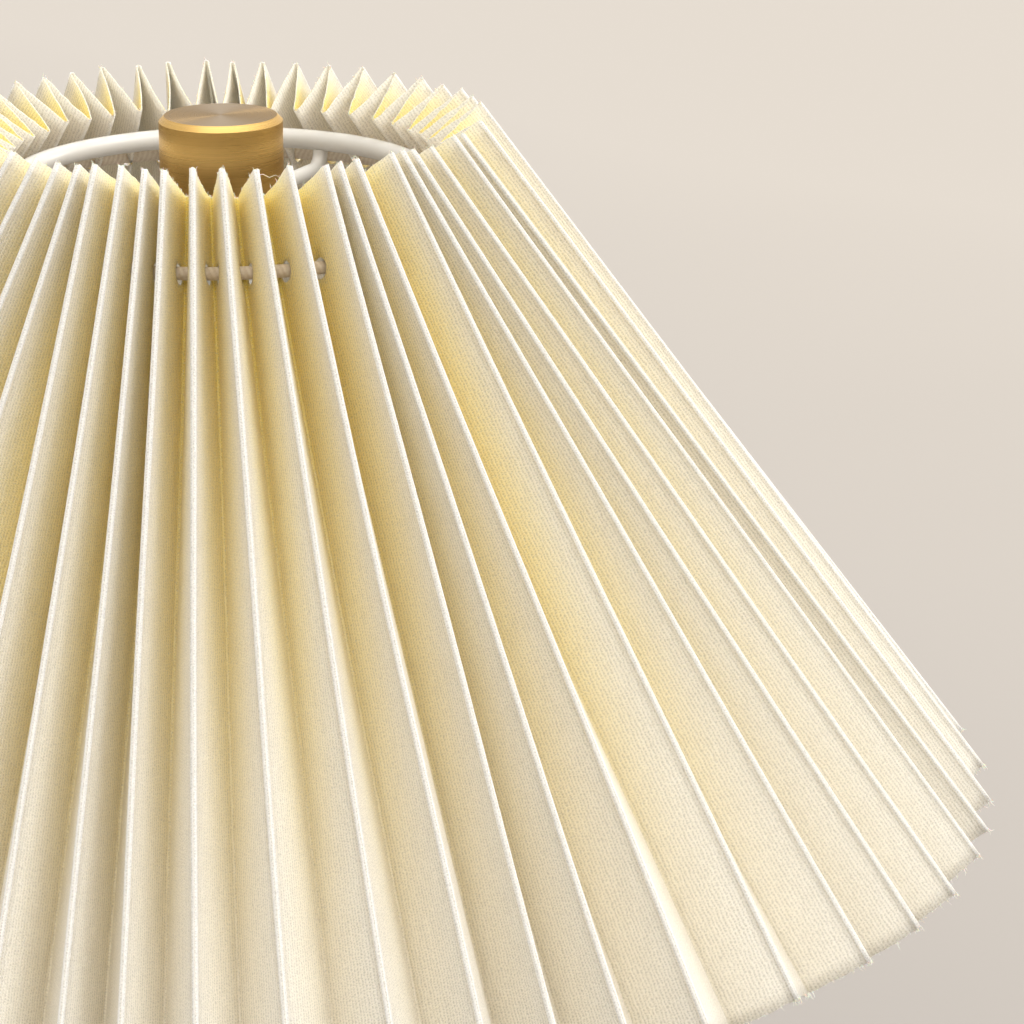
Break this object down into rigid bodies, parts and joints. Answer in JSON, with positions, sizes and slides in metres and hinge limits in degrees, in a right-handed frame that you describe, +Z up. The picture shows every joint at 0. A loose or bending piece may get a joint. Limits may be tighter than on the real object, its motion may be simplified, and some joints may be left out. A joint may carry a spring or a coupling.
{
  "type": "table lamp",
  "caption": "Table lamp with a cream knife-pleated empire shade on a harp and spider, a brass finial, a brass stem and a round weighted base.",
  "frame": {"origin": "centre of the base's underside, on the surface that the lamp stands on", "axes": "+Z up along the stem; -Y towards the front, where the switch knob is; the cord inlet faces +Y"},
  "size_m": [0.3195, 0.3194, 0.42],
  "materials": {
    "shade_fabric": "cream ribbed fabric bonded to a stiff backing",
    "white_enamel": "white stove enamel, semi-gloss",
    "cotton_cord": "twisted cotton cord",
    "brushed_brass": "satin, turned",
    "spun_brass": "satin, spun",
    "zinc_steel": "zinc plated",
    "cast_iron": "as cast, painted",
    "felt": "pressed felt",
    "black_rubber": "matt",
    "phenolic": "moulded phenolic",
    "knob_black": "satin black",
    "fibre_liner": "pressed fibre",
    "screw_shell_metal": "rolled thread",
    "nickel_brass": "nickel plated",
    "black_glass": "vitrite",
    "solder": "solder",
    "white_plastic": "satin white",
    "board_white": "white solder mask",
    "opal": "opal diffuser"
  },
  "bodies": {
    "stand": {"felt_pad": "felt", "base_cover": "spun_brass", "base_weight": "cast_iron", "base_washer": "zinc_steel", "base_nut": "zinc_steel", "cord_grommet": "black_rubber", "threaded_pipe": "zinc_steel", "stem_collar": "brushed_brass", "stem_tube": "brushed_brass", "stem_cap": "brushed_brass", "harp_saddle": "brushed_brass", "saddle_locknut": "zinc_steel", "socket_cap": "spun_brass", "socket_shell": "spun_brass", "socket_liner": "fibre_liner", "socket_body": "phenolic", "screw_shell": "screw_shell_metal", "centre_contact": "nickel_brass", "terminal_screws": "nickel_brass", "switch_bushing": "brushed_brass"},
    "switch": {"switch_shaft": "zinc_steel", "switch_knob": "knob_black"},
    "bulb": {"bulb_tip": "solder", "bulb_insulator": "black_glass", "bulb_screw_base": "screw_shell_metal", "bulb_housing": "white_plastic", "led_board": "board_white", "bulb_diffuser": "opal"},
    "harp": {"harp_wire": "brushed_brass", "harp_stud": "brushed_brass"},
    "left_ferrule_body": {"left_ferrule": "brushed_brass"},
    "right_ferrule_body": {"right_ferrule": "brushed_brass"},
    "washer": {"spider_washer": "zinc_steel"},
    "shade": {"shade_pleats": "shade_fabric", "top_ring": "white_enamel", "spider_arm_1": "white_enamel", "spider_arm_2": "white_enamel", "spider_arm_3": "white_enamel", "spider_hub": "white_enamel", "gather_cord": "cotton_cord"},
    "finial_body": {"finial": "brushed_brass"}
  },
  "joints": [
    {"name": "switch_turn", "type": "hinge", "parent": "stand", "child": "switch", "pos_m": [0, -0.033, 0.3065], "axis": [0, -1, 0], "continuous": true},
    {"name": "bulb_unscrew", "type": "hinge", "parent": "stand", "child": "bulb", "pos_m": [0, 0, 0.33], "axis": [0, 0, 1], "continuous": true},
    {"name": "harp_lift", "type": "slide", "parent": "stand", "child": "harp", "axis": [0, 0, 1], "range_m": [0, 0.1]},
    {"name": "left_ferrule_lift", "type": "slide", "parent": "harp", "child": "left_ferrule_body", "axis": [0, 0, 1], "range_m": [0, 0.012]},
    {"name": "right_ferrule_lift", "type": "slide", "parent": "harp", "child": "right_ferrule_body", "axis": [0, 0, 1], "range_m": [0, 0.012]},
    {"name": "shade_lift", "type": "slide", "parent": "harp", "child": "washer", "axis": [0, 0, 1], "range_m": [0, 0.16]},
    {"name": "shade_turn", "type": "hinge", "parent": "washer", "child": "shade", "pos_m": [0, 0, 0.4], "axis": [0, 0, 1], "continuous": true},
    {"name": "finial_unscrew", "type": "hinge", "parent": "shade", "child": "finial_body", "pos_m": [0, 0, 0.41], "axis": [0, 0, 1], "continuous": true}
  ]
}
